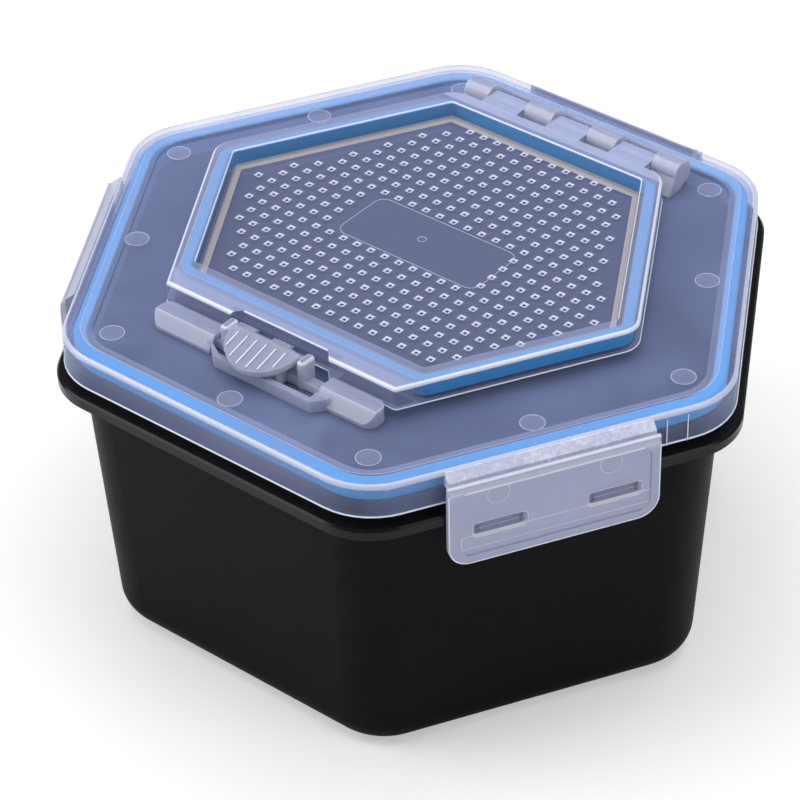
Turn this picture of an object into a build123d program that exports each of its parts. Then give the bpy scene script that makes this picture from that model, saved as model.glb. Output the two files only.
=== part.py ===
"""Hexagonal fishing bait box: black tub, clear sealed lid with three snap latches, and a vented hatch.

Millimetres, +Z up. The origin is the centre of the tub's base. The catch of the hatch faces -Y and its
hinge is at +Y. The latches are on the sides whose outward directions are 90, 210 and 330 degrees.
"""
from build123d import *
from math import cos, pi, tan
import os

# Outline that the lid, the tub and the hatch share
LID_FLAT = 82.0             # centre to the flat side of the lid's skirt, outside
LID_CORNER = 18.0           # radius of its upright corners

# Tub
TUB_INSET = 4.0             # from the skirt's outside in to the tub's wall, under the flange
TUB_DRAFT = 4.5             # how much nearer the centre the wall is at the base
TUB_CORNER = 17.0
TUB_WALL = 2.1
TUB_FLOOR = 2.4
BASE_EDGE = 8.0             # radius round the base, outside
FLANGE_REACH = 1.9          # how far the flange stands out past the skirt
FLANGE_TOP = 79.0           # height of the ledge
FLANGE_PLATE = 1.8
FLANGE_LIP = 2.8            # full height of the turned down edge
LIP_WALL = 1.7
RIM_HEIGHT = 5.0            # of the mouth over the ledge; its top presses on the gasket
RIM_WALL = 3.2

# Main lid
LID_RISE = 6.5              # from the tub's rim to the lid's top
SKIRT_HEIGHT = 9.3
SKIRT_WALL = 1.5
LID_WALL = 1.3              # thickness of the panel and of the rim's top
LID_EDGE = 1.6              # rounding along the rim's outer edge
RIM_BAND = 4.5              # width of the raised rim's flat top, with the rounding
RIM_SLOPE = 2.9             # width of the slope down to the panel
RIM_RISE = 1.0              # height of the rim over the panel
GASKET_WIDTH = 3.2
GASKET_INSET = 2.7          # from the skirt's outside to the gasket's outside
CHANNEL_RIB = 1.4           # wall inside the gasket
RIB_WIDTH = 0.6             # of the two small ribs on the skirt beside the front right latch
RIB_REACH = 0.3
RIB_START = 3.2             # from the latch's shelf to the first
RIB_STEP = 5.4
NECK_WALL = 1.8             # raised wall round the mouth, which the hatch closes on

# Hatch
HATCH_INSET = 24.1          # from the skirt's outside to the hatch's outside
FRONT_CUT = 4.0             # how much nearer the centre the hatch's front face is
SHELF_DEPTH = 5.5           # from the front face to the outer side of the rim's front run
HATCH_CORNER = 6.5
HATCH_FRONT_CORNER = 1.2
HATCH_RISE = 7.4            # from the lid's top to the hatch's top
HATCH_HEIGHT = 6.3
HATCH_WALL = 1.5
HATCH_RIM = 5.4             # width of the raised rim
SIEVE_DEPTH = 4.9           # from the rim's top down to the sieve
SIEVE_THICK = 1.0
WELL_DRAFT = 0.6            # how far the well narrows towards the sieve
HATCH_EDGE = 1.2            # rounding along the top's outer edge
WELL_EDGE = 0.5             # and along the well's edge
HATCH_GASKET = 2.6          # width of the hatch's gasket
HOLE_PITCH = 4.43
HOLE_TOP = 1.8              # side of a square hole at the top
HOLE_BASE = 0.7             # and at the bottom
HOLE_MARGIN = 4.6           # least distance from a hole's centre to the well's side
HOLE_MARGIN_BACK = 2.3      # from the back row to the well's side
HOLE_MARGIN_FRONT = 8.0
BARE_LENGTH = 43.0          # rectangle without holes in the middle, along X
BARE_WIDTH = 18.0
BARE_SHIFT = 2.4            # how far its middle lies towards the hinge
BARE_SIDE = -2.2            # X of its middle
GATE_X = -1.5               # mark that the mould's gate left in the bare rectangle
GATE_Y = 3.2
GATE_RADIUS = 1.1
GATE_HEIGHT = 0.2

# Latches
LATCH_WIDTH = 53.6
LATCH_WALL = 1.5
LATCH_DROP = 22.65          # from the hinge line to the lower edge
LATCH_CORNER = 5.5
LATCH_BORDER = 2.3          # width of the raised border at the sides and the lower edge
LATCH_BAND = 1.4            # height of the thick band under the hinge line
LATCH_RECESS = 0.35         # how far the middle lies behind the border
BEAD_RADIUS = 0.65          # rolled upper edge that the flap turns on
BEAD_DROP = 3.5             # from the lid's top to the hinge line
SHELF_WIDTH = 52.4          # strip on the lid's edge that carries the bead
SHELF_REACH = 2.15          # how far it stands out of the skirt
SHELF_SLOPE = 1.65          # how far its top falls from the skirt's face to its end
HOOK_LENGTH = 48.6
HOOK_REACH = 1.3            # how far the hook goes under the flange
HOOK_HEIGHT = 3.0
CATCH_DROP = 3.3            # bar under the tub's flange that the hook holds
POCKET_LENGTH = 13.0        # blind pocket over the hook, two in each latch
POCKET_HEIGHT = 3.2
POCKET_DEPTH = 0.6
POCKET_CENTRE = 14.6        # middle of the pockets to the middle of each
POCKET_SHIFT = 0.8          # how far both lie to the right of the latch's middle
LATCH_EDGE = 0.4            # rounding of the flap's outer edges

# Hinge of the hatch
HINGE_BACK = 7.8            # from the hatch's back face to the hinge line
HINGE_LENGTH = 68.0         # over the bracket
HINGE_END = 1.5             # thickness that closes the pin's hole at each end
KNUCKLE_RADIUS = 3.5        # of the bracket
BACK_RAIL_DEPTH = 1.6       # rail that joins the bracket's knuckles behind the hatch's
BACK_RAIL_HEIGHT = 1.2
PIN_RADIUS = 1.0
SIDE_CENTRE = 20.4          # middle of the box to the middle of a side knuckle of the hatch
SIDE_KNUCKLE = 11.4         # length of a side knuckle of the hatch
MID_KNUCKLE = 11.0          # length of its middle knuckle
HATCH_KNUCKLE = 1.9         # radius of the hatch's knuckles
HINGE_PLATE = 1.9           # thickness of the plates from the hatch to its knuckles
BRACKET_FOOT = 6.4          # from the hinge line to the front of the bracket's foot

# Sliding catch of the hatch. Depths are counted from the hatch's front face, away from the box's centre
WING_GAP = 0.7
WING_TOP = 4.7              # depth of a wing's flat top
WING_DEPTH = 7.0
WING_HEIGHT = 4.3
WING_FOOT = 1.0             # height of a wing's front edge
WING_END = 3.0              # rounding of a wing's corners, seen from above
WING_EDGE = 0.4             # rounding of their upper edges
WING_WALL = 1.3
WING_REACH = 34.5           # middle of the box to a wing's outer end
MOUTH_LEFT = 15.5           # middle of the box to the left wing's inner end
MOUTH_RIGHT = 17.7
FENCE_REACH = 3.0           # how far the fence stands in front of the wings
FENCE_HEIGHT = 3.5
FENCE_WALL = 1.3
FENCE_LEFT = 11.2           # middle of the box to the left end of the fence's straight run
FENCE_RIGHT = 18.6
NOTCH_LEFT = 12.8           # cut in the hatch's shelf, along X
NOTCH_RIGHT = 13.6
NOTCH_FLARE = 2.2           # how much wider it is at the front, at each end
NOTCH_DEPTH = 2.3
LEDGE_DROP = 3.6            # from the hatch's top to the ledges that the catch holds
CATCH_TRAVEL = 5.2
CATCH_REST = -1.0           # X of the catch's middle when it holds the hatch
RAIL_SIZE = 2.5             # square rail that slides in the wings
RAIL_LENGTH = 53.0
RAIL_DEPTH = 3.55           # depth of the rail's middle
TAB_RADIUS = 10.2
TAB_DEPTH = 3.2             # depth of the tab's upper edge
TAB_SLOPE = 15.0            # degrees
TAB_WALL = 1.3
TAB_LIP = 2.0               # height of the tab's round edge
GRIP_RIBS = 6
GRIP_WIDTH = 0.5
GRIP_HEIGHT = 0.25
STEM_LENGTH = 15.0          # block between the rail and the tab, along X
STEM_DEPTH = 5.5
NOSE_LENGTH = 5.0
NOSE_WALL = 1.0
NOSE_HOLD = 0.8             # how far a nose lies over its ledge
EAR_CENTRE = 11.9           # middle of the tab to the middle of an ear
EAR_WIDTH = 2.4
EAR_DEPTH = 4.8
EAR_DROP = 0.6              # from the hatch's top to the top of an ear

# Clearances
SEAL_GAP = 0.2              # soft ring to the rim that it closes on
SIDE_GAP = 0.3              # between pieces that pass each other
TURN_GAP = 0.05             # radial, in a hinge

LATCH_SIDES = {"back": 90, "left": 210, "front_right": 330}     # the way that each faces, in degrees

# Worked out from the values above
TUB_TOP_FLAT = LID_FLAT - TUB_INSET
TUB_BASE_FLAT = TUB_TOP_FLAT - TUB_DRAFT
FLANGE_FLAT = LID_FLAT + FLANGE_REACH
RIM_TOP = FLANGE_TOP + RIM_HEIGHT
LID_TOP = RIM_TOP + LID_RISE
HATCH_TOP = LID_TOP + HATCH_RISE
HATCH_FLAT = LID_FLAT - HATCH_INSET
HATCH_FRONT = HATCH_FLAT - FRONT_CUT
RIM_FRONT = HATCH_FRONT - SHELF_DEPTH
LID_UNDER = LID_TOP - LID_WALL
PANEL_TOP = LID_TOP - RIM_RISE
PANEL_UNDER = PANEL_TOP - LID_WALL
SKIRT_BOTTOM = LID_TOP - SKIRT_HEIGHT
GASKET_FLAT = LID_FLAT - GASKET_INSET
GASKET_IN = GASKET_FLAT - GASKET_WIDTH
RIM_FLAT = GASKET_FLAT - 0.1
RIM_IN = RIM_FLAT - RIM_WALL
HATCH_BOTTOM = HATCH_TOP - HATCH_HEIGHT
SIEVE_TOP = HATCH_TOP - SIEVE_DEPTH
SIEVE_UNDER = SIEVE_TOP - SIEVE_THICK
WELL = HATCH_FLAT - HATCH_RIM
WELL_FRONT = RIM_FRONT - HATCH_RIM
HINGE_Y = HATCH_FLAT + HINGE_BACK
HINGE_Z = HATCH_TOP - KNUCKLE_RADIUS - 0.3
NECK_INSET = (HATCH_WALL + HATCH_RIM - 1.0 - NECK_WALL) / 2
NECK_TOP = HATCH_BOTTOM + 0.3
HATCH_ROOF = HATCH_TOP - 1.1
CHANNEL_WALL = HATCH_RIM - 1.0
LEDGE_Z = HATCH_TOP - LEDGE_DROP
LATCH_IN = FLANGE_FLAT + SIDE_GAP
HOOK_TOP = FLANGE_TOP - FLANGE_LIP - CATCH_DROP - SIDE_GAP
SHELF_END = LID_FLAT + SHELF_REACH
LATCH_X = SHELF_END + TURN_GAP + BEAD_RADIUS
LATCH_Z = LID_TOP - BEAD_DROP
WING_BACK = HATCH_FRONT + WING_GAP
WING_CREASE = WING_BACK + WING_TOP
WING_FRONT = WING_BACK + WING_DEPTH
RAIL_X = HATCH_FRONT + RAIL_DEPTH
RAIL_Z = PANEL_TOP + SIDE_GAP + RAIL_SIZE / 2


def hexagon(flat, corner, front=None, front_corner=None):
    """Hexagon with flats at +Y and -Y and rounded corners. front moves the -Y side to that distance."""
    front = front or flat
    reach = flat / cos(pi / 6)
    low = reach - front * tan(pi / 6)
    points = [(reach, 0), (reach / 2, flat), (-reach / 2, flat), (-reach, 0), (-low, -front), (low, -front)]
    face = make_face(Polyline(*points, close=True))
    face = fillet([v for v in face.vertices() if v.Y > -front / 2], corner)
    return fillet([v for v in face.vertices() if v.Y < -front / 2], front_corner or corner)


def prism(face, low, high):
    """Upright solid of a flat outline between two heights."""
    return extrude(Pos(0, 0, low) * face, high - low)


def ring(outer, inner, low, high):
    return prism(outer, low, high) - prism(inner, low, high)


def tapered(low_face, low, high_face, high):
    """Straight-sided solid between two outlines that have the same number of edges."""
    return loft([Pos(0, 0, low) * low_face, Pos(0, 0, high) * high_face], ruled=True)


def lid_outline(inset):
    """The lid's outline, moved in by inset."""
    return hexagon(LID_FLAT - inset, LID_CORNER - inset)


def hatch_loop(inset):
    """Outline that follows the hatch's raised rim, moved in by inset from its outer side."""
    corner = max(HATCH_CORNER - inset, 1.0)
    return hexagon(HATCH_FLAT - inset, corner, RIM_FRONT - inset, corner)


def block(x0, x1, y0, y1, z0, z1):
    return Pos((x0 + x1) / 2, (y0 + y1) / 2, (z0 + z1) / 2) * Box(x1 - x0, y1 - y0, z1 - z0)


def bar(points, length, middle=0.0):
    """Straight piece along Y. points are its outline in X and Z, middle is the Y of its middle."""
    side = Plane.XZ * make_face(Polyline(*points, close=True))
    return extrude(Pos(0, middle + length / 2, 0) * side, length)


def rod(radius, length, x, z, middle=0.0):
    """Round bar along Y."""
    return Pos(x, middle, z) * Rot(90, 0, 0) * Cylinder(radius, length)


def upright(face, x0, x1):
    """Flat outline in Y and Z, thickened between two distances along X."""
    return extrude(Plane.YZ.offset(x0) * face, x1 - x0)


def on_side(shape, angle):
    """Puts a shape that was made for the side facing +X on the side that faces the given angle."""
    return Rot(0, 0, angle) * shape


def one(shape):
    solids = shape.solids()
    assert len(solids) == 1, "expected one solid, got %d" % len(solids)
    return solids[0]


def make_tub():
    lean = (TUB_TOP_FLAT - TUB_BASE_FLAT) / (FLANGE_TOP - FLANGE_LIP)
    top = FLANGE_TOP - FLANGE_LIP / 2
    body = tapered(hexagon(TUB_BASE_FLAT, TUB_CORNER), 0, hexagon(TUB_BASE_FLAT + lean * top, TUB_CORNER), top)
    body = fillet(body.faces().sort_by(Axis.Z)[0].edges(), BASE_EDGE)
    flange = hexagon(FLANGE_FLAT, LID_CORNER)
    collar = hexagon(FLANGE_FLAT - LIP_WALL, LID_CORNER - LIP_WALL)
    plate = prism(flange, FLANGE_TOP - FLANGE_LIP, FLANGE_TOP)
    plate = chamfer(plate.faces().sort_by(Axis.Z)[-1].edges(), 0.5)
    plate -= prism(collar, FLANGE_TOP - FLANGE_LIP, FLANGE_TOP - FLANGE_PLATE)
    for angle in LATCH_SIDES.values():
        plate += on_side(block(FLANGE_FLAT - LIP_WALL, FLANGE_FLAT, -HOOK_LENGTH / 2, HOOK_LENGTH / 2,
                               HOOK_TOP + SIDE_GAP, FLANGE_TOP - FLANGE_PLATE), angle)
    rim = prism(hexagon(RIM_FLAT, LID_CORNER - LID_FLAT + RIM_FLAT), FLANGE_TOP - FLANGE_PLATE, RIM_TOP)
    rim = chamfer(rim.faces().sort_by(Axis.Z)[-1].edges(), 0.4)
    inner_corner = TUB_CORNER - TUB_WALL
    base = TUB_BASE_FLAT - TUB_WALL + lean * TUB_FLOOR
    hollow = tapered(
        hexagon(base, inner_corner), TUB_FLOOR,
        hexagon(RIM_IN, inner_corner), FLANGE_TOP,
    )
    hollow = fillet(hollow.faces().sort_by(Axis.Z)[0].edges(), BASE_EDGE - TUB_WALL)
    hollow += prism(hexagon(RIM_IN, inner_corner), FLANGE_TOP, RIM_TOP)
    return one(body + plate + rim - hollow)


def make_main_lid():
    shell = prism(lid_outline(0), SKIRT_BOTTOM, LID_TOP)
    shell = fillet(shell.faces().sort_by(Axis.Z)[-1].edges(), LID_EDGE)
    inside = LID_FLAT - GASKET_IN + CHANNEL_RIB
    recess = tapered(lid_outline(RIM_BAND + RIM_SLOPE), PANEL_TOP, lid_outline(RIM_BAND), LID_TOP)
    shell -= recess
    shell -= ring(lid_outline(SKIRT_WALL), lid_outline(inside - CHANNEL_RIB), SKIRT_BOTTOM, LID_UNDER)
    shell -= prism(lid_outline(inside), SKIRT_BOTTOM, PANEL_UNDER)
    rib_low = RIM_TOP + 2 * SEAL_GAP
    shell -= ring(lid_outline(inside - CHANNEL_RIB - 0.01), lid_outline(inside + 0.01), SKIRT_BOTTOM, rib_low)
    shell += prism(hatch_loop(NECK_INSET), PANEL_UNDER, NECK_TOP)
    shell -= prism(hatch_loop(NECK_INSET + NECK_WALL), PANEL_UNDER, NECK_TOP)
    for angle in LATCH_SIDES.values():
        shell -= on_side(make_latch_shelf(), angle)
    for i in range(2):
        t = SHELF_WIDTH / 2 + RIB_START + i * RIB_STEP
        rib = block(LID_FLAT - 0.2, LID_FLAT + RIB_REACH, t, t + RIB_WIDTH, SKIRT_BOTTOM, LID_TOP - LID_EDGE)
        shell += on_side(rib, LATCH_SIDES["front_right"])
    return one(shell)


def make_latch_shelf():
    """Frosted strip on the lid's edge that ends at the bead of a latch. Made for the side facing +X."""
    x0 = LID_FLAT - LID_EDGE / 3
    x1 = LID_FLAT - SKIRT_WALL / 2
    high = LID_TOP - LID_EDGE / 3
    return bar([(x0, high + 0.05), (LID_FLAT, high), (SHELF_END, high - SHELF_SLOPE), (SHELF_END, LATCH_Z - 0.4),
                (x1, LATCH_Z - 1.0), (x1, LID_TOP - LID_EDGE), (x0, LID_TOP - LID_EDGE)], SHELF_WIDTH)


def make_main_gasket():
    return one(ring(lid_outline(GASKET_INSET), lid_outline(GASKET_INSET + GASKET_WIDTH),
                    RIM_TOP + SEAL_GAP, LID_UNDER))


def make_latch():
    """Flap that hangs from its bead, with a hook for the flange. Made for the side facing +X."""
    low = LATCH_Z - LATCH_DROP
    out = LATCH_IN + LATCH_WALL
    out_top = LATCH_Z - LATCH_BAND
    flap = bar([(LATCH_IN, low), (out, low), (out, out_top), (LATCH_X + BEAD_RADIUS * 0.9, LATCH_Z),
                (LATCH_IN, LATCH_Z)], LATCH_WIDTH)
    flap = fillet(flap.edges().filter_by(Axis.X).group_by(Axis.Z)[0], LATCH_CORNER)
    rim = [e for e in flap.faces().filter_by(Axis.X).sort_by(Axis.X)[-1].edges() if e.center().Z < out_top - 0.1]
    flap = fillet(rim, LATCH_EDGE)
    wide = LATCH_WIDTH - 2 * LATCH_BORDER
    high = LATCH_DROP - LATCH_BAND - LATCH_BORDER
    field = Pos(0, low + LATCH_BORDER + high / 2) * RectangleRounded(wide, high, LATCH_CORNER - LATCH_BORDER)
    face = out - LATCH_RECESS
    flap -= upright(field, face, out)
    tip = FLANGE_FLAT - HOOK_REACH
    for t in (POCKET_SHIFT - POCKET_CENTRE, POCKET_SHIFT + POCKET_CENTRE):
        place = Pos(t, HOOK_TOP + POCKET_HEIGHT / 2 - 0.6)
        floor = place * RectangleRounded(POCKET_LENGTH, POCKET_HEIGHT, 0.8)
        mouth = place * RectangleRounded(POCKET_LENGTH + 1.0, POCKET_HEIGHT + 1.0, 1.3)
        flap -= loft([Plane.YZ.offset(face - POCKET_DEPTH) * floor, Plane.YZ.offset(face) * mouth], ruled=True)
    hook = bar([(LATCH_IN + 0.2, HOOK_TOP), (tip, HOOK_TOP), (tip, HOOK_TOP - 0.5),
                (LATCH_IN + 0.2, HOOK_TOP - HOOK_HEIGHT)], HOOK_LENGTH)
    return one(flap + rod(BEAD_RADIUS, LATCH_WIDTH, LATCH_X, LATCH_Z) + hook)


def make_hatch_frame():
    outline = hexagon(HATCH_FLAT, HATCH_CORNER, HATCH_FRONT, HATCH_FRONT_CORNER)
    frame = prism(outline, HATCH_BOTTOM, HATCH_TOP)
    frame = fillet(frame.faces().sort_by(Axis.Z)[-1].edges(), HATCH_EDGE)
    seat = hatch_loop(HATCH_RIM + WELL_DRAFT)
    frame -= prism(seat, HATCH_BOTTOM, SIEVE_TOP)
    frame -= tapered(seat, SIEVE_TOP, hatch_loop(HATCH_RIM), HATCH_TOP)
    frame = fillet(frame.faces().sort_by(Axis.Z)[-1].inner_wires()[0].edges(), WELL_EDGE)
    frame -= ring(hatch_loop(HATCH_WALL), hatch_loop(CHANNEL_WALL), HATCH_BOTTOM, HATCH_ROOF)
    inner = hexagon(HATCH_FLAT - HATCH_WALL, HATCH_CORNER - HATCH_WALL, HATCH_FRONT - HATCH_WALL, 0.5)
    reach = 2 * HATCH_FLAT
    inner = prism(inner, HATCH_BOTTOM, HATCH_ROOF)
    frame -= inner & block(-reach, reach, -reach, -RIM_FRONT, HATCH_BOTTOM, HATCH_ROOF)
    back = HATCH_FRONT - NOTCH_DEPTH
    wall = HATCH_WALL + NOTCH_FLARE
    frame += block(-NOTCH_LEFT - wall, NOTCH_RIGHT + wall, HATCH_WALL / 2 - HATCH_FRONT, HATCH_WALL - back,
                   HATCH_BOTTOM, HATCH_ROOF + 0.1)
    front = HATCH_FRONT + NOTCH_DEPTH
    flare = 2 * NOTCH_FLARE
    notch = Polyline((-NOTCH_LEFT, -back), (NOTCH_RIGHT, -back), (NOTCH_RIGHT + flare, -front),
                     (-NOTCH_LEFT - flare, -front), close=True)
    frame -= prism(make_face(notch), HATCH_BOTTOM, HATCH_TOP)
    frame = fillet([e for e in frame.faces().sort_by(Axis.Z)[-1].edges().filter_by(GeomType.LINE)
                    if abs(e.center().Y + back) < 0.1], WELL_EDGE)
    for low, high in ledges():
        frame += block(low, high, -HATCH_FRONT, HATCH_WALL / 2 - back, HATCH_BOTTOM, LEDGE_Z)
    for middle, length in hatch_knuckles():
        frame += on_side(hatch_knuckle(length, middle), 90)
    for middle, length in hatch_knuckles():
        frame -= on_side(rod(PIN_RADIUS + TURN_GAP, length + 2, HINGE_Y, HINGE_Z, middle), 90)
    return one(frame)


def noses():
    """Where the catch's two noses start, along X, while it holds the hatch."""
    first = SIDE_GAP - NOTCH_LEFT
    return [first, first + NOSE_LENGTH + CATCH_TRAVEL + 2 * SIDE_GAP]


def ledges():
    """Where the hatch's two ledges start and end, along X. Each ends where its nose clears it after the travel."""
    first, second = noses()
    return [(first - 2 * SIDE_GAP, first + CATCH_TRAVEL - SIDE_GAP),
            (first + CATCH_TRAVEL + NOSE_LENGTH + SIDE_GAP, second + CATCH_TRAVEL - SIDE_GAP)]


def hatch_knuckles():
    """Middle and length of each of the hatch's knuckles."""
    return [(-SIDE_CENTRE, SIDE_KNUCKLE), (0, MID_KNUCKLE), (SIDE_CENTRE, SIDE_KNUCKLE)]


def hatch_knuckle(length, middle):
    high = HINGE_Z + HATCH_KNUCKLE
    root = HATCH_FLAT - HATCH_WALL / 2
    plate = bar([(root, high - HINGE_PLATE), (root, high), (HINGE_Y, high), (HINGE_Y, high - HINGE_PLATE)],
                length, middle)
    return plate + rod(HATCH_KNUCKLE, length, HINGE_Y, HINGE_Z, middle)


def sieve_holes():
    """Centres of the holes: a square grid that keeps clear of the sides and of the bare rectangle."""
    back = WELL - WELL_DRAFT - HOLE_MARGIN_BACK
    limit = WELL - WELL_DRAFT - HOLE_MARGIN
    columns = int(2 * WELL / HOLE_PITCH)
    rows = int((back + WELL_FRONT - HOLE_MARGIN_FRONT) / HOLE_PITCH) + 1
    for row in range(rows):
        y = back - row * HOLE_PITCH
        for column in range(-columns, columns + 1):
            x = column * HOLE_PITCH
            bare = abs(x - BARE_SIDE) < BARE_LENGTH / 2 and abs(y - BARE_SHIFT) < BARE_WIDTH / 2
            if not bare and abs(x) * cos(pi / 6) + abs(y) / 2 < limit:
                yield x, y


def make_hatch_sieve():
    plate = prism(hatch_loop(HATCH_RIM + WELL_DRAFT), SIEVE_UNDER, SIEVE_TOP)
    plate += Pos(GATE_X, GATE_Y, SIEVE_TOP) * Cylinder(GATE_RADIUS, 2 * GATE_HEIGHT)
    hole = tapered(Rectangle(HOLE_BASE, HOLE_BASE), SIEVE_UNDER, Rectangle(HOLE_TOP, HOLE_TOP), SIEVE_TOP)
    return one(plate - [Pos(x, y, 0) * hole for x, y in sieve_holes()])


def make_hatch_gasket():
    spare = (CHANNEL_WALL - HATCH_WALL - HATCH_GASKET) / 2
    outer = hatch_loop(HATCH_WALL + spare)
    inner = hatch_loop(HATCH_WALL + spare + HATCH_GASKET)
    return one(ring(outer, inner, NECK_TOP + SEAL_GAP, HATCH_ROOF))


def make_hinge_bracket():
    """Two pairs of knuckles for the pin, on one foot. They stand between the hatch's knuckles."""
    front = HINGE_Y - BRACKET_FOOT
    back = HINGE_Y - KNUCKLE_RADIUS / 3
    round_off = KNUCKLE_RADIUS * 0.7
    inner = (MID_KNUCKLE / 2 + SIDE_GAP, SIDE_CENTRE - SIDE_KNUCKLE / 2 - SIDE_GAP)
    outer = (SIDE_CENTRE + SIDE_KNUCKLE / 2 + SIDE_GAP, HINGE_LENGTH / 2)
    bracket = bar([(front, PANEL_TOP), (front, PANEL_TOP + 0.8), (back, PANEL_TOP + 0.8), (back, PANEL_TOP)],
                  HINGE_LENGTH)
    web = [(front, PANEL_TOP), (HINGE_Y - 1.5, HINGE_Z + KNUCKLE_RADIUS - 0.35), (HINGE_Y, HINGE_Z),
           (HINGE_Y + round_off, HINGE_Z - round_off), (back, PANEL_TOP)]
    for low, high in (inner, outer):
        for side in (-1, 1):
            middle = side * (low + high) / 2
            bracket += bar(web, high - low, middle)
            bracket += rod(KNUCKLE_RADIUS, high - low, HINGE_Y, HINGE_Z, middle)
    x0 = HINGE_Y + KNUCKLE_RADIUS - 0.2
    low = HINGE_Z + 0.1
    bracket += bar([(x0, low), (x0 + BACK_RAIL_DEPTH, low), (x0 + BACK_RAIL_DEPTH, low + BACK_RAIL_HEIGHT - 0.4),
                    (x0, low + BACK_RAIL_HEIGHT)], HINGE_LENGTH - 2 * HINGE_END)
    bracket -= rod(PIN_RADIUS, HINGE_LENGTH - 2 * HINGE_END, HINGE_Y, HINGE_Z)
    return one(on_side(bracket, 90))


def make_hinge_pin():
    return one(on_side(rod(PIN_RADIUS, HINGE_LENGTH - 2 * HINGE_END, HINGE_Y, HINGE_Z), 90))


def make_catch_bracket():
    """Two hollow wings that the catch's rail slides in, and a low fence in front of the catch."""
    high = PANEL_TOP + WING_HEIGHT
    side = [(WING_BACK, PANEL_TOP), (WING_BACK, high), (WING_CREASE, high), (WING_FRONT, PANEL_TOP + WING_FOOT),
            (WING_FRONT, PANEL_TOP)]
    middle = (WING_BACK + WING_FRONT) / 2
    plan = Pos(middle, 0) * RectangleRounded(WING_FRONT - WING_BACK, 2 * WING_REACH, WING_END)
    bracket = bar(side, 2 * WING_REACH) & prism(plan, PANEL_TOP, high)
    bracket = fillet(bracket.faces().sort_by(Axis.Z)[-1].edges(), WING_EDGE)
    bracket -= block(0, 2 * WING_FRONT, -MOUTH_LEFT, MOUTH_RIGHT, PANEL_TOP, high)
    room = RAIL_SIZE / 2 + SIDE_GAP
    end = WING_REACH - WING_WALL
    bracket -= block(RAIL_X - room, RAIL_X + room, -end, end, PANEL_TOP, RAIL_Z + room)
    front = WING_FRONT + FENCE_REACH
    back = WING_CREASE + FENCE_WALL
    outer = Polyline((back, -MOUTH_LEFT - FENCE_WALL), (WING_FRONT - 0.8, -MOUTH_LEFT), (front, -FENCE_LEFT),
                     (front, FENCE_RIGHT), (WING_FRONT, FENCE_RIGHT + 2.6), (back, FENCE_RIGHT + 2.6), close=True)
    inner = Polyline((0, -MOUTH_LEFT), (back, -MOUTH_LEFT), (front - FENCE_WALL, -FENCE_LEFT + FENCE_WALL / 2),
                     (front - FENCE_WALL, MOUTH_RIGHT), (0, MOUTH_RIGHT), close=True)
    fence = prism(make_face(outer), PANEL_TOP, PANEL_TOP + FENCE_HEIGHT)
    fence -= prism(make_face(inner), PANEL_TOP, PANEL_TOP + FENCE_HEIGHT)
    return one(on_side(bracket + fence, -90))


def make_thumb_catch():
    """Slider: a ribbed half round tab over a rail, with two noses behind it that hold the hatch's ledges."""
    tab = Pos(0, 0, -TAB_WALL / 2) * Cylinder(TAB_RADIUS, TAB_WALL)
    tab += Pos(0, 0, -TAB_LIP / 2) * (Cylinder(TAB_RADIUS, TAB_LIP) - Cylinder(TAB_RADIUS - TAB_WALL, TAB_LIP))
    for i in range(1, GRIP_RIBS + 1):
        t = (2 * i / (GRIP_RIBS + 1) - 1) * TAB_RADIUS
        rib = block(TAB_WALL, TAB_RADIUS, t - GRIP_WIDTH / 2, t + GRIP_WIDTH / 2, -TAB_WALL / 2, GRIP_HEIGHT)
        tab += rib & Cylinder(TAB_RADIUS - GRIP_WIDTH, 2 * TAB_LIP)
    tab &= block(0, TAB_RADIUS, -TAB_RADIUS, TAB_RADIUS, -TAB_LIP, GRIP_HEIGHT)
    depth = HATCH_FRONT + TAB_DEPTH
    tab = Pos(depth, CATCH_REST, HATCH_TOP) * Rot(0, TAB_SLOPE, 0) * tab
    low = RAIL_Z - RAIL_SIZE / 2
    x0 = HATCH_FRONT + 1.3
    x1 = x0 + TAB_WALL
    stem = bar([(x0, low), (x1 + STEM_DEPTH, low), (x1 + STEM_DEPTH, HATCH_TOP - 4.2), (depth, HATCH_TOP - TAB_WALL),
                (x0, HATCH_TOP - TAB_WALL)], STEM_LENGTH, CATCH_REST)
    wall = bar([(x0, low), (x1, low), (x1, HATCH_TOP - EAR_DROP - 1.0), (x0, HATCH_TOP - EAR_DROP - 1.0)],
               2 * EAR_CENTRE, CATCH_REST)
    catch = tab + stem + wall + block(RAIL_X - RAIL_SIZE / 2, RAIL_X + RAIL_SIZE / 2, -RAIL_LENGTH / 2,
                                      RAIL_LENGTH / 2, low, low + RAIL_SIZE)
    for start in noses():
        catch += block(HATCH_FRONT - NOSE_HOLD, x1, start, start + NOSE_LENGTH, LEDGE_Z + SIDE_GAP,
                       LEDGE_Z + SIDE_GAP + NOSE_WALL)
    for turn in (-1, 1):
        middle = CATCH_REST + turn * EAR_CENTRE
        ear = block(HATCH_FRONT + SIDE_GAP, HATCH_FRONT + SIDE_GAP + EAR_DEPTH, middle - EAR_WIDTH / 2,
                    middle + EAR_WIDTH / 2, low, HATCH_TOP - EAR_DROP)
        catch += fillet(ear.edges().filter_by(Axis.Z) + ear.faces().sort_by(Axis.Z)[-1].edges(), 0.9)
    return one(on_side(catch, -90))


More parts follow.
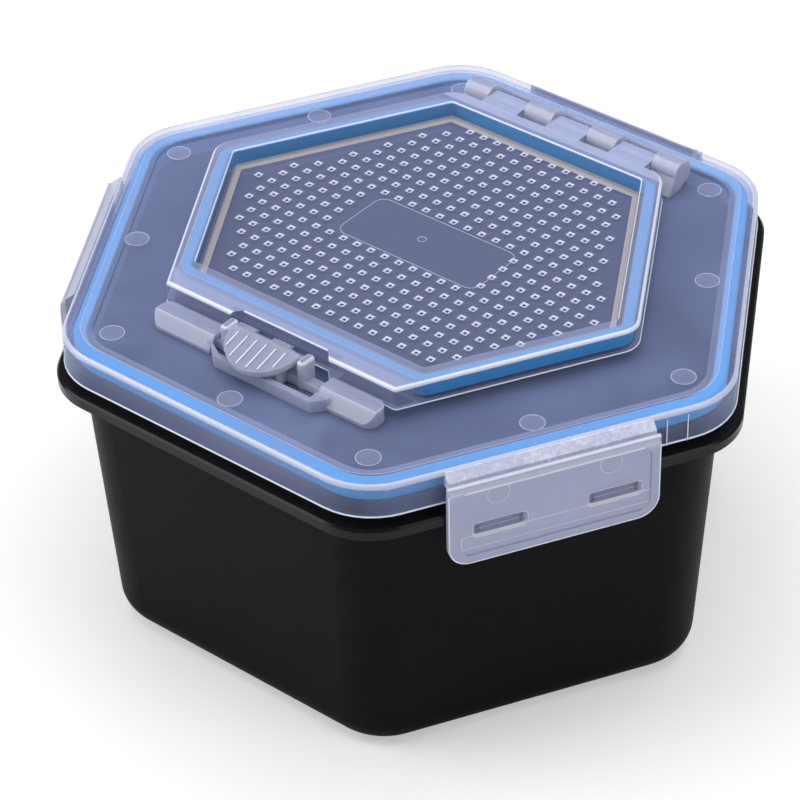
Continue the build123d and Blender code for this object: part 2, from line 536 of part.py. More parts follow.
def build():
    parts = {
        "tub": make_tub(),
        "main_lid": make_main_lid(),
        "main_gasket": make_main_gasket(),
        "hatch_frame": make_hatch_frame(),
        "hatch_sieve": make_hatch_sieve(),
        "hatch_gasket": make_hatch_gasket(),
        "hinge_bracket": make_hinge_bracket(),
        "hinge_pin": make_hinge_pin(),
        "catch_bracket": make_catch_bracket(),
        "thumb_catch": make_thumb_catch(),
    }
    latch = make_latch()
    shelf = one(make_latch_shelf())
    for name, angle in LATCH_SIDES.items():
        parts["latch_" + name] = on_side(latch, angle)
        parts["latch_shelf_" + name] = on_side(shelf, angle)
    return parts


if __name__ == "__main__":
    os.makedirs("parts", exist_ok=True)
    for name, solid in build().items():
        export_step(solid, "parts/%s.step" % name)
        print(name, round(solid.volume / 1000, 1), "cm3", [round(v, 1) for v in tuple(solid.bounding_box().size)])
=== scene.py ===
"""Looks of the hexagonal bait box: black tub, clear lid over a blue seal, frosted latches, vented hatch.

Everything is in metres, in the frame of the CAD model: +Z up, the hatch's catch towards -Y.
"""

from math import cos, pi, radians, sin, tan

import bpy
import numpy as np
from mathutils import Matrix, Vector


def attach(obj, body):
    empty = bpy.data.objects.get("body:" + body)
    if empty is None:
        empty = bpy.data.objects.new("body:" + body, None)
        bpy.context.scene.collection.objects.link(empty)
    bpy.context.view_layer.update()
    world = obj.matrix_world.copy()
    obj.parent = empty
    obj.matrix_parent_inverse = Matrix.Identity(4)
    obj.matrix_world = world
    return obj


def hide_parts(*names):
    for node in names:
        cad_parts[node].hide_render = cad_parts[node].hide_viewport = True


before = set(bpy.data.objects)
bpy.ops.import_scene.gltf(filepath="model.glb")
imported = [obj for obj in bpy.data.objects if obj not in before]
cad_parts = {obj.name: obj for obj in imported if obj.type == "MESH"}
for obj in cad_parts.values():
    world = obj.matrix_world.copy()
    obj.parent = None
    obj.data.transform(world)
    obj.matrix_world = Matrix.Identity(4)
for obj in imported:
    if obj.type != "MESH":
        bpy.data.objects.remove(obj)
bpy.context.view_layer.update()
MM = 0.001
# Sizes of the CAD model in millimetres. A flat is the distance from a hexagon's middle to its sides.
LID_FLAT, LID_CORNER = 82.0, 18.0
SKIRT_BOTTOM, PANEL_TOP, LID_TOP = 81.2, 89.5, 90.5
HATCH_FLAT, HATCH_FRONT, HATCH_CORNER = 57.9, 53.9, 6.5
HATCH_BOTTOM, SIEVE_TOP, HATCH_TOP = 91.6, 93.0, 97.9
WELL_FLAT, WELL_FRONT = 51.9, 42.4
HOLE_PITCH = 4.43
LATCH_FACE, LATCH_BORDER = 85.35, 85.7
LATCH_SIDES = {"latch_front_right": 330, "latch_left": 210, "latch_back": 90}  # degrees from +X
POCKETS = (-13.8, 15.4)  # where the middles of a latch's two blind pockets are, across the latch
ABOVE = 0.005  # how far a thin scene piece lies over the CAD face under it
scene = bpy.context.scene
scene.view_settings.view_transform = "Standard"


def srgb(code):
    """Colour written as sRGB hex, as the linear values and the alpha that a socket takes."""
    parts = [int(code[i:i + 2], 16) / 255 for i in (0, 2, 4)]
    return tuple(c / 12.92 if c <= 0.04045 else ((c + 0.055) / 1.055) ** 2.4 for c in parts) + (1.0,)


def add(tree, kind, inputs=None, **settings):
    """Adds a node with its settings. inputs gives a value, or a socket to link from, for each input."""
    made = tree.nodes.new(kind)
    for name, value in settings.items():
        setattr(made, name, value)
    for name, value in (inputs or {}).items():
        if isinstance(value, bpy.types.NodeSocket):
            tree.links.new(value, made.inputs[name])
        else:
            made.inputs[name].default_value = value
    return made


def material(name):
    """New material with an empty node tree. Returns both."""
    made = bpy.data.materials.new(name)
    made.use_nodes = True
    made.node_tree.nodes.clear()
    return made, made.node_tree


def finish_material(tree, shader):
    """Leads the shader to the material's surface."""
    add(tree, "ShaderNodeOutputMaterial", {"Surface": shader})


def dress(node, look):
    """Gives a CAD node its finish."""
    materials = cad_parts[node].data.materials
    materials.clear()
    materials.append(look)


def black_polypropylene():
    """Black polypropylene, injection moulded against a finely sparked steel mould: an even, dry sheen with
    a grain too fine to see, drawn here at 0.5 mm, faint clouds of about 26 mm from handling and specks of
    dust of 1 to 2 mm. The flange, above 75 mm, was polished in the mould and is glossier."""
    flange = 75 * MM
    made, tree = material("black_polypropylene")
    place = add(tree, "ShaderNodeTexCoord").outputs["Object"]
    clouds = add(tree, "ShaderNodeTexNoise", {"Vector": place, "Scale": 38.0, "Detail": 6.0,
                                              "Roughness": 0.62})
    tone = add(tree, "ShaderNodeValToRGB", {"Fac": clouds.outputs["Fac"]})
    tone.color_ramp.elements[0].position = 0.35
    tone.color_ramp.elements[0].color = srgb("0b0b0c")
    tone.color_ramp.elements[1].position = 0.75
    tone.color_ramp.elements[1].color = srgb("111112")
    specks = add(tree, "ShaderNodeTexNoise", {"Vector": place, "Scale": 650.0, "Detail": 4.0,
                                              "Roughness": 0.8})
    dust = add(tree, "ShaderNodeMapRange", {"Value": specks.outputs["Fac"], "From Min": 0.56,
                                            "From Max": 0.72, "To Min": 0.0, "To Max": 0.5})
    tone = add(tree, "ShaderNodeMix", {0: dust.outputs["Result"], 6: tone.outputs["Color"],
                                       7: srgb("1f1f20")}, data_type="RGBA")
    dry = add(tree, "ShaderNodeMapRange", {"Value": clouds.outputs["Fac"], "To Min": 0.40, "To Max": 0.52})
    height = add(tree, "ShaderNodeSeparateXYZ", {0: place}).outputs["Z"]
    polish = add(tree, "ShaderNodeMapRange", {"Value": height, "From Min": flange, "From Max": flange + MM})
    gloss = add(tree, "ShaderNodeMapRange", {"Value": polish.outputs["Result"], "To Min": 0.05,
                                             "To Max": 0.18})
    rough = add(tree, "ShaderNodeMix", {0: polish.outputs["Result"], 2: dry.outputs["Result"], 3: 0.24},
                data_type="FLOAT")
    grain = add(tree, "ShaderNodeTexNoise", {"Vector": place, "Scale": 2000.0, "Detail": 2.0})
    bump = add(tree, "ShaderNodeBump", {"Height": grain.outputs["Fac"], "Strength": 0.12,
                                        "Distance": 0.05 * MM})
    shader = add(tree, "ShaderNodeBsdfPrincipled", {
        "Base Color": tone.outputs[2], "Roughness": rough.outputs[0], "IOR": 1.49,
        "Specular IOR Level": gloss.outputs["Result"], "Normal": bump.outputs["Normal"]})
    finish_material(tree, shader.outputs["BSDF"])
    return made


def normal_rise(tree):
    """Z of the surface's normal in the object's own frame: 1 on level tops and 0 on upright faces."""
    normal = add(tree, "ShaderNodeTexCoord").outputs["Normal"]
    return add(tree, "ShaderNodeSeparateXYZ", {0: normal}).outputs["Z"]


def painted_highlight_share(tree, sides):
    """Mask of painted highlight, from the normal's rise: 1 on rounded edges and on the sloping walls of
    holes that face up, 0 on level faces and the value of sides on upright ones."""
    ramp = add(tree, "ShaderNodeValToRGB", {"Fac": normal_rise(tree)})
    stops = ramp.color_ramp.elements
    stops[0].position, stops[0].color = 0.10, (sides, sides, sides, 1)
    stops[1].position, stops[1].color = 0.30, (1, 1, 1, 1)
    for rise, value in ((0.88, 1.0), (0.95, 0.22), (0.985, 0.0)):
        stops.new(rise).color = (value, value, value, 1)
    return ramp.outputs["Color"]


def clear_polypropylene(name, colour, highlight_colour, haze, roughness, frosted=(), cloud=0.0, upright=1.0,
                        sides=0.0, scatter=0.0):
    """Natural polypropylene, moulded thin and left clear: a bluish milky haze over what is under it, denser
    where the wall is seen at a low angle. Its rounded edges that face up are painted palest and densest, as
    a painted highlight. A slow waviness of about 45 mm is left from the melt's flow.

    haze holds how dense it is seen face on, at a low angle and along the edges. Each of frosted is a place
    along Y and the way from there, in millimetres, and the haze that is added where the mould was left
    rough. cloud is how much the haze varies in soft patches of about 50 mm, where the melt flowed together.
    upright is the share of the haze that polished upright walls have. sides is how much upright walls take
    the edges' painted highlight: painted light that stands for light coming through them from the side.
    scatter is how much of the light a rough piece spreads inside, over about 3 mm."""
    face_haze, side_haze, edge_haze = haze
    made, tree = material(name)
    place = add(tree, "ShaderNodeTexCoord").outputs["Object"]
    # Painted highlight: the mask turns the colour paler and the haze denser on rounded edges and hole walls.
    edge = painted_highlight_share(tree, sides)
    low_angle = add(tree, "ShaderNodeLayerWeight", {"Blend": 0.3}).outputs["Facing"]
    wall = add(tree, "ShaderNodeMapRange", {"Value": low_angle, "To Min": face_haze, "To Max": side_haze})
    wall = wall.outputs["Result"]
    if upright < 1.0:
        rise = add(tree, "ShaderNodeMath", {0: normal_rise(tree)}, operation="ABSOLUTE").outputs[0]
        share = add(tree, "ShaderNodeMapRange", {"Value": rise, "From Min": 0.1, "From Max": 0.4,
                                                 "To Min": upright, "To Max": 1.0})
        wall = add(tree, "ShaderNodeMath", {0: wall, 1: share.outputs["Result"]}, operation="MULTIPLY")
        wall = wall.outputs[0]
    for start, way, more in frosted:
        depth = add(tree, "ShaderNodeSeparateXYZ", {0: place}).outputs["Y"]
        start, end = start * MM, (start + way) * MM
        frost = add(tree, "ShaderNodeMapRange", {"Value": depth, "From Min": start, "From Max": end,
                                                 "To Min": 0.0, "To Max": more})
        wall = add(tree, "ShaderNodeMath", {0: wall, 1: frost.outputs["Result"]}, operation="ADD").outputs[0]
    if cloud:
        patches = add(tree, "ShaderNodeTexNoise", {"Vector": place, "Scale": 20.0, "Detail": 2.0,
                                                   "Distortion": 1.2})
        drift = add(tree, "ShaderNodeMapRange", {"Value": patches.outputs["Fac"], "From Min": 0.35,
                                                 "From Max": 0.65, "To Min": -cloud, "To Max": cloud})
        wall = add(tree, "ShaderNodeMath", {0: wall, 1: drift.outputs["Result"]}, operation="ADD").outputs[0]
    density = add(tree, "ShaderNodeMix", {0: edge, 2: wall, 3: edge_haze}, data_type="FLOAT")
    tone = add(tree, "ShaderNodeMix", {0: edge, 6: srgb(colour), 7: srgb(highlight_colour)}, data_type="RGBA")
    flow = add(tree, "ShaderNodeTexNoise", {"Vector": place, "Scale": 22.0, "Detail": 3.0})
    bump = add(tree, "ShaderNodeBump", {"Height": flow.outputs["Fac"], "Strength": 0.10,
                                        "Distance": 0.4 * MM})
    shader = add(tree, "ShaderNodeBsdfPrincipled", {
        "Base Color": tone.outputs[2], "Roughness": roughness, "IOR": 1.49, "Alpha": density.outputs[0],
        "Normal": bump.outputs["Normal"], "Subsurface Weight": scatter, "Subsurface Radius": (1.0, 1.0, 1.0),
        "Subsurface Scale": 3 * MM})
    finish_material(tree, shader.outputs["BSDF"])
    return made


def scuffed_polypropylene():
    """The latches' shelves: the same plastic, moulded against rough steel and scuffed white by wear, in
    specks of about 1 mm and patches of about 8 mm."""
    made, tree = material("scuffed_polypropylene")
    place = add(tree, "ShaderNodeTexCoord").outputs["Object"]
    specks = add(tree, "ShaderNodeTexNoise", {"Vector": place, "Scale": 900.0, "Detail": 3.0,
                                              "Roughness": 0.7})
    patches = add(tree, "ShaderNodeTexNoise", {"Vector": place, "Scale": 120.0, "Detail": 4.0})
    both = add(tree, "ShaderNodeMath", {0: specks.outputs["Fac"], 1: patches.outputs["Fac"]},
               operation="MULTIPLY")
    wear = add(tree, "ShaderNodeMapRange", {"Value": both.outputs[0], "From Min": 0.18, "From Max": 0.36})
    tone = add(tree, "ShaderNodeMix", {0: wear.outputs["Result"], 6: srgb("bfc4de"), 7: srgb("dadceb")},
               data_type="RGBA")
    density = add(tree, "ShaderNodeMapRange", {"Value": wear.outputs["Result"], "To Min": 0.72,
                                               "To Max": 0.84})
    bump = add(tree, "ShaderNodeBump", {"Height": both.outputs[0], "Strength": 0.25, "Distance": 0.1 * MM})
    shader = add(tree, "ShaderNodeBsdfPrincipled", {
        "Base Color": tone.outputs[2], "Roughness": 0.45, "IOR": 1.49, "Alpha": density.outputs["Result"],
        "Normal": bump.outputs["Normal"]})
    finish_material(tree, shader.outputs["BSDF"])
    return made


def silicone():
    """Blue silicone, moulded: soft and waxy, without sharp gloss, and faintly mottled at about 17 mm."""
    made, tree = material("silicone_seal")
    place = add(tree, "ShaderNodeTexCoord").outputs["Object"]
    grain = add(tree, "ShaderNodeTexNoise", {"Vector": place, "Scale": 60.0, "Detail": 3.0})
    tone = add(tree, "ShaderNodeMix", {0: grain.outputs["Fac"], 6: srgb("1f98de"), 7: srgb("2aa2e8")},
               data_type="RGBA")
    shader = add(tree, "ShaderNodeBsdfPrincipled", {
        "Base Color": tone.outputs[2], "Roughness": 0.5, "IOR": 1.41})
    finish_material(tree, shader.outputs["BSDF"])
    return made


BLACK = black_polypropylene()
LID = clear_polypropylene("clear_polypropylene_lid", "8f9ccc", "b9bfd8", (0.10, 0.64, 0.90), 0.2, cloud=0.04)
# Frosted are the hatch's strip by the hinge and its shelf over the catch.
HATCH = clear_polypropylene("clear_polypropylene_hatch", "a4add2", "e4e7f4", (0.24, 0.42, 0.80), 0.2,
                            frosted=((53.7, 0.6, 0.42), (-47.0, -1.5, 0.24)), upright=0.25)
SIEVE = clear_polypropylene("clear_polypropylene_sieve", "838cb4", "a9afcc", (0.20, 0.45, 0.42), 0.25)
# The funnels are painted pale as a painted highlight round the sieve's holes.
FUNNEL = clear_polypropylene("clear_polypropylene_funnel_highlights", "c8cde2", "dde0ee", (0.60, 0.75, 0.80), 0.25)
MARGIN = clear_polypropylene("clear_polypropylene_margin", "bcb7bb", "bcb7bb", (0.38, 0.55, 0.48), 0.4)
FLAP = clear_polypropylene("clear_polypropylene_flap", "bcc1e2", "dde0ee", (0.55, 0.74, 0.80), 0.3)
POCKET = clear_polypropylene("clear_polypropylene_pockets", "8388aa", "8388aa", (0.42, 0.55, 0.42), 0.3)
SHADED = clear_polypropylene("clear_polypropylene_left", "9a9eb8", "b4b7ca", (0.50, 0.72, 0.75), 0.35)
# FROSTED and CATCH give their upright walls most of the edges' painted highlight: painted light that lifts
# the shade on their fronts.
FROSTED = clear_polypropylene("frosted_polypropylene", "9fa4c2", "c2c5da", (0.50, 0.70, 0.68), 0.45,
                              sides=0.8, scatter=0.7)
CATCH = clear_polypropylene("frosted_polypropylene_catch", "9a9fbb", "d4d7e6", (0.48, 0.70, 0.78), 0.42,
                            sides=0.8, scatter=0.7)
MARK = clear_polypropylene("clear_polypropylene_marks", "aab2d4", "c4cae2", (0.08, 0.20, 0.55), 0.3)
# Painted highlight: pale, nearly opaque lines and rings laid along edges, crests and rims where light
# catches them.
HIGHLIGHT_LINE = clear_polypropylene("clear_polypropylene_highlight_lines", "e4e7f3", "e8eaf5", (0.85, 0.85, 0.85), 0.3)
SCUFFED = scuffed_polypropylene()
SEAL = silicone()

# The left latch and its shelf are seen against the light, so they look greyer.
LOOKS = {
    BLACK: ["tub"],
    LID: ["main_lid"],
    HATCH: ["hatch_frame"],
    SIEVE: ["hatch_sieve"],
    FROSTED: ["catch_bracket", "hinge_bracket"],
    CATCH: ["thumb_catch", "hinge_pin"],
    FLAP: ["latch_front_right", "latch_back"],
    SCUFFED: ["latch_shelf_front_right", "latch_shelf_back"],
    SHADED: ["latch_left", "latch_shelf_left"],
}
for look, nodes in LOOKS.items():
    for node in nodes:
        dress(node, look)


def rounded_path(corners, radius, z, steps=8):
    """Loop through the corners of a polygon, each rounded by an arc: point = centre of the arc + radius *
    (sin a, -cos a), where the heading a runs from one side's heading to the next side's, and the radius is
    negative where the loop turns right. radius is one for all corners, or one for each. Returns the points
    and the headings' unit vectors."""
    corners = np.array(corners, float)
    came = corners - np.roll(corners, 1, 0)
    came /= np.linalg.norm(came, axis=1)[:, None]
    goes = np.roll(came, -1, 0)
    start = np.arctan2(came[:, 1], came[:, 0])
    turn = (np.arctan2(goes[:, 1], goes[:, 0]) - start + pi) % (2 * pi) - pi
    radius = (np.sign(turn) * radius)[:, None]
    back = radius * np.tan(turn / 2)[:, None]
    centre = corners - came * back + np.stack((-came[:, 1], came[:, 0]), 1) * radius
    heading = start[:, None] + turn[:, None] * np.linspace(0, 1, steps)
    path = centre[:, None] + radius[:, None] * np.stack((np.sin(heading), -np.cos(heading)), 2)
    path = np.concatenate((path.reshape(-1, 2), np.full((path.shape[0] * steps, 1), z)), 1)
    return path, np.stack((np.cos(heading), np.sin(heading)), 2).reshape(-1, 2)


def hexagon_corners(flat, front=None):
    """Corners of the hexagon that the lid and the hatch share. front moves the -Y side to that distance."""
    front = front or flat
    reach = flat / cos(pi / 6)
    low = reach - front * tan(pi / 6)
    return [(reach, 0), (reach / 2, flat), (-reach / 2, flat), (-reach, 0), (-low, -front), (low, -front)]


def lid_loop(inset, z):
    """Loop that runs inside the lid's outline at a distance."""
    return rounded_path(hexagon_corners(LID_FLAT - inset), LID_CORNER - inset, z)


def circle_path(x, y, z, radius, count=36):
    """Loop round a circle: point = centre + radius * (cos a, sin a), with its headings."""
    turn = np.arange(count) * 2 * pi / count
    path = np.stack((x + radius * np.cos(turn), y + radius * np.sin(turn), np.full(count, z)), 1)
    return path, np.stack((-np.sin(turn), np.cos(turn)), 1)


def sweep(loop, profile):
    """Surface of a closed profile carried along a closed loop that turns left: point = point of the loop +
    side * (heading turned a quarter to the right) + height * up. profile holds (side, height) pairs that
    turn left too, seen along the heading."""
    path, heading = loop
    side, height = np.array(profile, float).T
    across = np.stack((heading[:, 1], -heading[:, 0], np.zeros(len(path))), 1)
    up = np.array((0, 0, 1.0))
    points = path[:, None] + across[:, None] * side[None, :, None] + up * height[None, :, None]
    n, m = len(path), len(side)
    i, j = np.meshgrid(np.arange(n), np.arange(m), indexing="ij")
    after, nearby = (i + 1) % n, (j + 1) % m
    faces = np.stack((i * m + j, after * m + j, after * m + nearby, i * m + nearby), -1)
    return points.reshape(-1, 3), faces.reshape(-1, 4)


def slab(low, high):
    """Box between two corners."""
    pick = np.array([(i & 1, i >> 1 & 1, i >> 2) for i in range(8)])
    faces = np.array([(0, 2, 3, 1), (4, 5, 7, 6), (0, 1, 5, 4), (2, 6, 7, 3), (0, 4, 6, 2), (1, 3, 7, 5)])
    return np.where(pick, np.array(high, float), np.array(low, float)), faces


def joined(pieces):
    """Vertices and faces of several surfaces as one."""
    starts = np.cumsum([0] + [len(points) for points, _ in pieces[:-1]])
    return (np.concatenate([points for points, _ in pieces]),
            np.concatenate([faces + start for (_, faces), start in zip(pieces, starts)]))


def piece(name, surface, body, look, turn=None):
    """Object of its own from a surface in millimetres, riding on a body. turn is a rotation of the
    surface."""
    points, faces = surface
    if turn is not None:
        points = points @ np.array(turn).T
    mesh = bpy.data.meshes.new(name)
    mesh.from_pydata((points * MM).tolist(), [], faces.tolist())
    mesh.materials.append(look)
    made = bpy.data.objects.new(name, mesh)
    scene.collection.objects.link(made)
    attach(made, body)
    return made


def polar(radius, angle):
    """Point on a circle round the middle, at an angle in degrees."""
    return radius * cos(radians(angle)), radius * sin(radians(angle))


def ejector_marks():
    """Flat discs with a fine rim that the mould's ejector pins left on the lid's panel."""
    corner_reach, side_reach, radius, middle = 80.0, 71.8, 3.0, -2.95
    places = [polar(corner_reach, 60 * i) for i in range(6)]
    places += [polar(side_reach, angle) for angle in (-90, -30, 30, 150, 210)]
    disc = [(middle, 0.0), (0.13, 0.0), (0.0, 0.10), (-0.13, 0.01), (middle, 0.01)]
    return joined([sweep(circle_path(x, y, PANEL_TOP + ABOVE, radius), disc) for x, y in places])


def hole_places():
    """Centres of the sieve's holes, as in the CAD part: a square grid that keeps clear of the well's sides
    and of the bare rectangle."""
    back, front, side_columns, clear = 49.6, -35.0, 23, 4.6
    bare_middle, bare_half = (-2.2, 2.4), (21.5, 9.0)
    columns = np.arange(-side_columns, side_columns + 1) * HOLE_PITCH
    rows = back - np.arange(int((back - front) / HOLE_PITCH) + 1) * HOLE_PITCH
    x, y = (v.ravel() for v in np.meshgrid(columns, rows))
    bare = (abs(x - bare_middle[0]) < bare_half[0]) & (abs(y - bare_middle[1]) < bare_half[1])
    keep = ~bare & (abs(x) * cos(pi / 6) + abs(y) / 2 < WELL_FLAT - clear)
    return np.stack((x[keep], y[keep]), 1)


def hole_funnels():
    """Shallow square funnels in the tops of the sieve's holes, each four flat walls with a thickness, drawn
    pale as painted highlight. Every one is the first one moved to its hole's centre."""
    wide, narrow, high, low, wall = 0.92, 0.42, 0.04, -0.10, 0.03
    square = [(1, 1), (-1, 1), (-1, -1), (1, -1)]
    rings = [(wide, high), (narrow, low), (narrow, low - wall), (wide, high - wall)]
    first = np.array([(x * half, y * half, SIEVE_TOP + z) for half, z in rings for x, y in square])
    faces = np.array([(k * 4 + i, k * 4 + (i + 1) % 4, (k + 1) % 4 * 4 + (i + 1) % 4, (k + 1) % 4 * 4 + i)
                      for k in range(4) for i in range(4)])
    places = np.pad(hole_places(), ((0, 0), (0, 1)))
    count = np.arange(len(places)) * len(first)
    return (first + places[:, None]).reshape(-1, 3), (faces + count[:, None, None]).reshape(-1, 4)


def bare_outline():
    """Fine raised line round the rectangle without holes, and round the gate mark in it."""
    left, right, front, back, corner = -21.6, 22.0, -6.4, 12.2, 3.0
    gate_x, gate_y, gate_rise, gate_radius = -1.5, 3.2, 0.19, 1.1
    corners = [(left, front), (right, front), (right, back), (left, back)]
    line = [(-0.11, 0.0), (0.11, 0.0), (0.0, 0.08)]
    return joined([sweep(rounded_path(corners, corner, SIEVE_TOP + ABOVE), line),
                   sweep(circle_path(gate_x, gate_y, SIEVE_TOP + gate_rise, gate_radius), line)])


def upright_box(left, right, low, high, radius, out):
    """Loop round a rectangle on a latch, at a distance out of the box's middle."""
    return rounded_path([(left, low), (right, low), (right, high), (left, high)], radius, out)


def latch_marks():
    """Two ejector rings on a latch, made lying flat with +Z out of the latch's face."""
    across, height, radius = 14.2, 83.0, 2.8
    ring = [(-0.06, 0.0), (0.06, 0.0), (0.0, 0.04)]
    return joined([sweep(circle_path(x, height, LATCH_FACE + ABOVE, radius), ring)
                   for x in (-across, across)])


def latch_lines():
    """Painted highlight lines on a latch, made like its rings: the sharp outer edge of the border, the edge
    of the thick band over the field, the outline of the hook rail inside and the pockets' edges."""
    side, low, high, lower_corner, upper_corner = 26.8, 64.35, 85.5, 5.5, 0.1
    band_side, band_low, band_high, band_out = 24.3, 84.8, 85.0, 0.08
    rail_left, rail_right, rail_low, rail_high, rail_corner = -23.5, 24.5, 68.6, 72.2, 0.3
    pocket_half, pocket_low, pocket_high, pocket_corner = 7.0, 71.5, 75.7, 1.3
    field = LATCH_FACE + ABOVE
    border = rounded_path([(-side, low), (side, low), (side, high), (-side, high)],
                          (lower_corner, lower_corner, upper_corner, upper_corner), LATCH_BORDER)
    edge = [(-0.46, -0.01), (-0.01, -0.46), (-0.01, -0.01)]
    fine = [(-0.07, 0.0), (0.07, 0.0), (0.0, 0.04)]
    outlines = [upright_box(rail_left, rail_right, rail_low, rail_high, rail_corner, field)]
    for middle in POCKETS:
        outlines.append(upright_box(middle - pocket_half, middle + pocket_half, pocket_low, pocket_high,
                                    pocket_corner, field))
    band = slab((-band_side, band_low, field), (band_side, band_high, field + band_out))
    return joined([sweep(border, edge), band] + [sweep(path, fine) for path in outlines])


def latch_pockets():
    """Dark floors of a latch's two blind pockets, where the plastic is thin and the tub shows through."""
    half, low, high, corner, out = 6.3, 72.2, 75.0, 0.6, 84.76
    floor = [(-1.25, 0.0), (0.0, 0.0), (0.0, 0.03), (-1.25, 0.03)]
    return joined([sweep(upright_box(middle - half, middle + half, low, high, corner, out), floor)
                   for middle in POCKETS])


def gasket(outline, width, low, high):
    """Soft ring with its edges rounded off. It stops just under the channel's roof, because two surfaces in
    one place show neither."""
    soft, gap = 0.35, 0.04
    top = high - gap
    profile = [(soft - width, low), (-soft, low), (0.0, low + soft), (0.0, top - soft), (-soft, top),
               (soft - width, top), (-width, top - soft), (-width, low + soft)]
    return sweep(outline, profile)


def bead(height):
    """Profile of a small bead that runs along a side, from the loop up."""
    return [(0.0, 0.0), (0.4 * height, 0.3 * height), (0.4 * height, 0.7 * height), (0.0, height)]


def skirt_edge():
    """Painted highlight: a pale line along the lower edge of the lid's skirt."""
    return sweep(lid_loop(0.0, SKIRT_BOTTOM), bead(0.5))


def skirt_ribs():
    """Painted highlight on the faces of the two small ribs on the skirt beside the front right latch, made
    lying flat.
    """
    low, high, out, thick, width = 81.6, 88.9, 82.3, 0.05, 0.25
    return joined([slab((across, low, out), (across + width, high, out + thick)) for across in (29.6, 35.0)])


def ridge_crest():
    """Painted highlight: a pale line along the inner crest of the lid's raised rim."""
    crest_inset = 4.5
    return sweep(lid_loop(crest_inset, LID_TOP), [(-0.10, -0.06), (0.10, 0.0), (0.0, 0.07)])


def hatch_foot():
    """Painted highlight: a pale line along the lower edge of the hatch, round the notch for the catch."""
    notch_depth, front_corner, notch_corner = 2.3, 1.2, 0.2
    corners = hexagon_corners(HATCH_FLAT, HATCH_FRONT)
    notch_back = notch_depth - HATCH_FRONT
    notch = [(-15.0, -HATCH_FRONT), (-12.8, notch_back), (13.6, notch_back), (15.8, -HATCH_FRONT)]
    radii = [HATCH_CORNER] * 4 + [front_corner] + [notch_corner] * 4 + [front_corner]
    return sweep(rounded_path(corners[:5] + notch + corners[5:], radii, HATCH_BOTTOM), bead(0.4))


def well_margin():
    """Dull margin round the sieve, where it is thicker beside the well's wall."""
    corner, width = 1.0, 1.5
    path = rounded_path(hexagon_corners(WELL_FLAT, WELL_FRONT), corner, SIEVE_TOP)
    return sweep(path, [(-width, ABOVE), (-0.01, ABOVE), (0.08, 0.9), (-0.2, 0.3), (-width, 0.04)])


def grip_lines():
    """Painted highlight on the crests of the tab's six grip ribs. The tab is a half disc that slopes down
    from the hatch's top, to the front: x runs down the slope from its straight edge, y across it and z off
    its face."""
    ribs, radius, slope, tab_middle, tab_back = 6, 10.2, radians(15), -1.0, -57.1
    start, reach, half_width, low, high = 1.4, 9.6, 0.13, 0.24, 0.31
    lines = []
    for i in range(1, ribs + 1):
        across = (2 * i / (ribs + 1) - 1) * radius
        end = (reach ** 2 - across ** 2) ** 0.5
        points, faces = slab((start, across - half_width, low), (end, across + half_width, high))
        x, y, z = points.T
        depth = tab_back - x * cos(slope) - z * sin(slope)
        height = HATCH_TOP - x * sin(slope) + z * cos(slope)
        lines.append((np.stack((tab_middle + y, depth, height), 1), faces))
    return joined(lines)


def facing(angle):
    """Rotation that turns +Z to the side that faces the angle, with the lying Y upright."""
    a = radians(angle)
    return [(-sin(a), 0, cos(a)), (cos(a), 0, sin(a)), (0, 1, 0)]


piece("ejector_marks", ejector_marks(), "lid", MARK)
piece("hole_funnels", hole_funnels(), "hatch", FUNNEL)
piece("bare_outline", bare_outline(), "hatch", MARK)
for latch, angle in LATCH_SIDES.items():
    piece(latch + "_marks", latch_marks(), latch, HIGHLIGHT_LINE, facing(angle))
    piece(latch + "_lines", latch_lines(), latch, HIGHLIGHT_LINE, facing(angle))
    piece(latch + "_pockets", latch_pockets(), latch, POCKET, facing(angle))
seal = piece("main_seal", gasket(lid_loop(2.7, 0.0), width=3.2, low=84.2, high=89.2), "lid",
             SEAL)
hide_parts("main_gasket")
ring = rounded_path(hexagon_corners(56.25, 46.75), 4.85, 0.0)
seal = piece("hatch_seal", gasket(ring, width=2.6, low=92.1, high=96.8), "hatch", SEAL)
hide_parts("hatch_gasket")
piece("skirt_edge", skirt_edge(), "lid", HIGHLIGHT_LINE)
piece("skirt_ribs", skirt_ribs(), "lid", HIGHLIGHT_LINE, facing(LATCH_SIDES["latch_front_right"]))
piece("ridge_crest", ridge_crest(), "lid", MARK)
piece("hatch_foot", hatch_foot(), "hatch", HIGHLIGHT_LINE)
piece("well_margin", well_margin(), "hatch", MARGIN)
piece("grip_lines", grip_lines(), "thumb_catch", HIGHLIGHT_LINE)


def camera():
    """The photograph's view, fitted to the lid's hexagon: a long lens, with a slight roll."""
    azimuth, elevation, roll = radians(39.41), radians(37.46), radians(-1.26)
    place, lens, sensor = (0.4219, -0.5221, 0.5598), 147.9, 36.0
    back = Vector((sin(azimuth) * cos(elevation), -cos(azimuth) * cos(elevation), sin(elevation)))
    right = Vector((cos(azimuth), sin(azimuth), 0))
    up = back.cross(right)
    across = right * cos(roll) + up * sin(roll)
    upward = up * cos(roll) - right * sin(roll)
    made = bpy.data.objects.new("camera", bpy.data.cameras.new("camera"))
    made.data.lens = lens
    made.data.sensor_width = sensor
    turn = Matrix((across, upward, back)).transposed().to_4x4()
    made.matrix_world = Matrix.Translation(place) @ turn
    scene.collection.objects.link(made)
    scene.camera = made


def softbox(name, place, size, power):
    """Rectangular lamp that looks at the box's middle. power is in watts."""
    aim = (0.0, 0.0, 0.05)
    made = bpy.data.objects.new(name, bpy.data.lights.new(name, "AREA"))
    made.data.shape = "RECTANGLE"
    made.data.size, made.data.size_y = size
    made.data.energy = power
    made.location = place
    made.rotation_euler = (Vector(aim) - Vector(place)).to_track_quat("-Z", "Y").to_euler()
    scene.collection.objects.link(made)


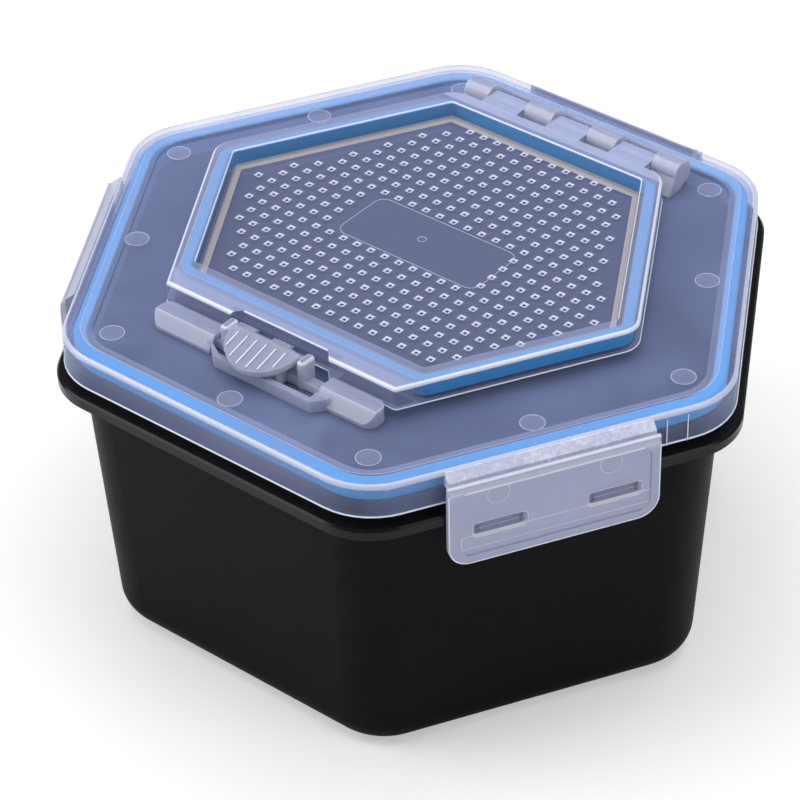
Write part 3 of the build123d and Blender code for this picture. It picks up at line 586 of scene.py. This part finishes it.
def studio():
    """White paper floor under soft light. The camera sees the paper a little lighter than the lamps alone
    would show it, and all white from 2 m on, as in a photograph on white."""
    half = 6.0
    mesh = bpy.data.meshes.new("floor")
    mesh.from_pydata([(x, y, 0.0) for y in (-half, half) for x in (-half, half)], [], [(0, 1, 3, 2)])
    floor = bpy.data.objects.new("floor", mesh)
    scene.collection.objects.link(floor)
    made, tree = material("white_paper")
    seen = add(tree, "ShaderNodeLightPath").outputs["Is Camera Ray"]
    place = add(tree, "ShaderNodeTexCoord").outputs["Object"]
    away = add(tree, "ShaderNodeVectorMath", {0: place}, operation="LENGTH").outputs["Value"]
    lift = add(tree, "ShaderNodeMapRange", {"Value": away, "From Min": 0.5, "From Max": 2.0, "To Min": 0.42,
                                            "To Max": 1.0})
    share = add(tree, "ShaderNodeMath", {0: seen, 1: lift.outputs["Result"]}, operation="MULTIPLY")
    paper = add(tree, "ShaderNodeBsdfDiffuse", {"Color": srgb("f2f2f2")})
    white = add(tree, "ShaderNodeEmission", {"Color": srgb("ffffff"), "Strength": 1.0})
    mix = add(tree, "ShaderNodeMixShader", {0: share.outputs[0], 1: paper.outputs[0], 2: white.outputs[0]})
    finish_material(tree, mix.outputs[0])
    mesh.materials.append(made)
    world = bpy.data.worlds.new("room")
    scene.world = world
    world.use_nodes = True
    world.node_tree.nodes.clear()
    tree = world.node_tree
    path = add(tree, "ShaderNodeLightPath")
    clear = add(tree, "ShaderNodeMath", {0: path.outputs["Is Camera Ray"],
                                         1: path.outputs["Is Transmission Ray"]}, operation="MAXIMUM")
    room = add(tree, "ShaderNodeBackground", {"Color": srgb("ffffff"), "Strength": 0.22})
    backdrop = add(tree, "ShaderNodeBackground", {"Color": srgb("ffffff"), "Strength": 1.0})
    mix = add(tree, "ShaderNodeMixShader", {0: clear.outputs[0], 1: room.outputs[0], 2: backdrop.outputs[0]})
    add(tree, "ShaderNodeOutputWorld", {"Surface": mix.outputs[0]})
    softbox("softbox_left", (-0.9, -0.75, 0.9), (0.9, 0.9), power=11)
    softbox("softbox_top", (-0.05, 0.15, 1.3), (1.3, 1.3), power=18)
    softbox("softbox_right", (0.95, 0.1, 0.7), (0.5, 0.9), power=3)


camera()
studio()
